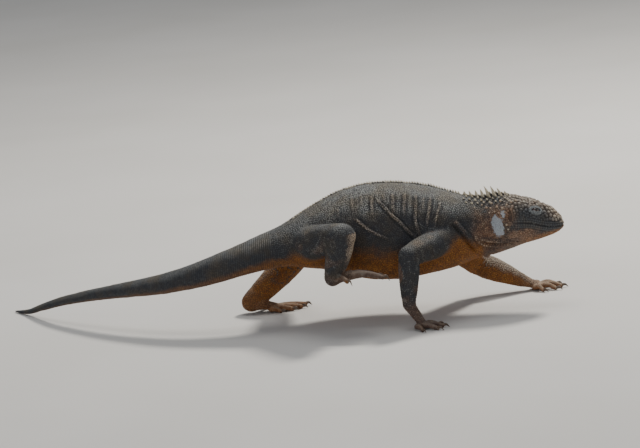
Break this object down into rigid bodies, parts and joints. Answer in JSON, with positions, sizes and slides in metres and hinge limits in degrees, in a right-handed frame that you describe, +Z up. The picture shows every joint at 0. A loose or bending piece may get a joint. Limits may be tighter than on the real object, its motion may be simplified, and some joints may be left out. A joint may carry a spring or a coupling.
{
  "type": "land iguana",
  "caption": "Life-size still model of a large land iguana in mid stride, with splayed clawed limbs, a low back crest and a tail that rests on the floor.",
  "frame": {"origin": "middle of the model's footprint, at the floor", "axes": "+X towards the head, +Y towards the animal's left side, +Z up"},
  "size_m": [0.8514, 0.3874, 0.205],
  "materials": {
    "hide": "granular scaled hide, slate above and orange brown below, dusty",
    "claw": "dark brown horn, satin",
    "eye": "polished dark brown eye"
  },
  "bodies": {
    "root": {"tail_tip": "hide", "tail_middle": "hide", "tail_base": "hide", "torso": "hide", "neck": "hide", "head": "hide", "right_eye": "eye", "left_eye": "eye", "right_hand_claw_1": "claw", "right_hand_claw_2": "claw", "right_hand_claw_3": "claw", "right_hand_claw_4": "claw", "right_hand_claw_5": "claw", "right_upper_arm": "hide", "right_forearm": "hide", "right_hand": "hide", "left_hand_claw_1": "claw", "left_hand_claw_2": "claw", "left_hand_claw_3": "claw", "left_hand_claw_4": "claw", "left_hand_claw_5": "claw", "left_upper_arm": "hide", "left_forearm": "hide", "left_hand": "hide", "right_foot_claw_1": "claw", "right_foot_claw_2": "claw", "right_foot_claw_3": "claw", "right_foot_claw_4": "claw", "right_foot_claw_5": "claw", "right_thigh": "hide", "right_shank": "hide", "right_foot": "hide", "left_foot_claw_1": "claw", "left_foot_claw_2": "claw", "left_foot_claw_3": "claw", "left_foot_claw_4": "claw", "left_foot_claw_5": "claw", "left_thigh": "hide", "left_shank": "hide", "left_foot": "hide"}
  },
  "joints": []
}
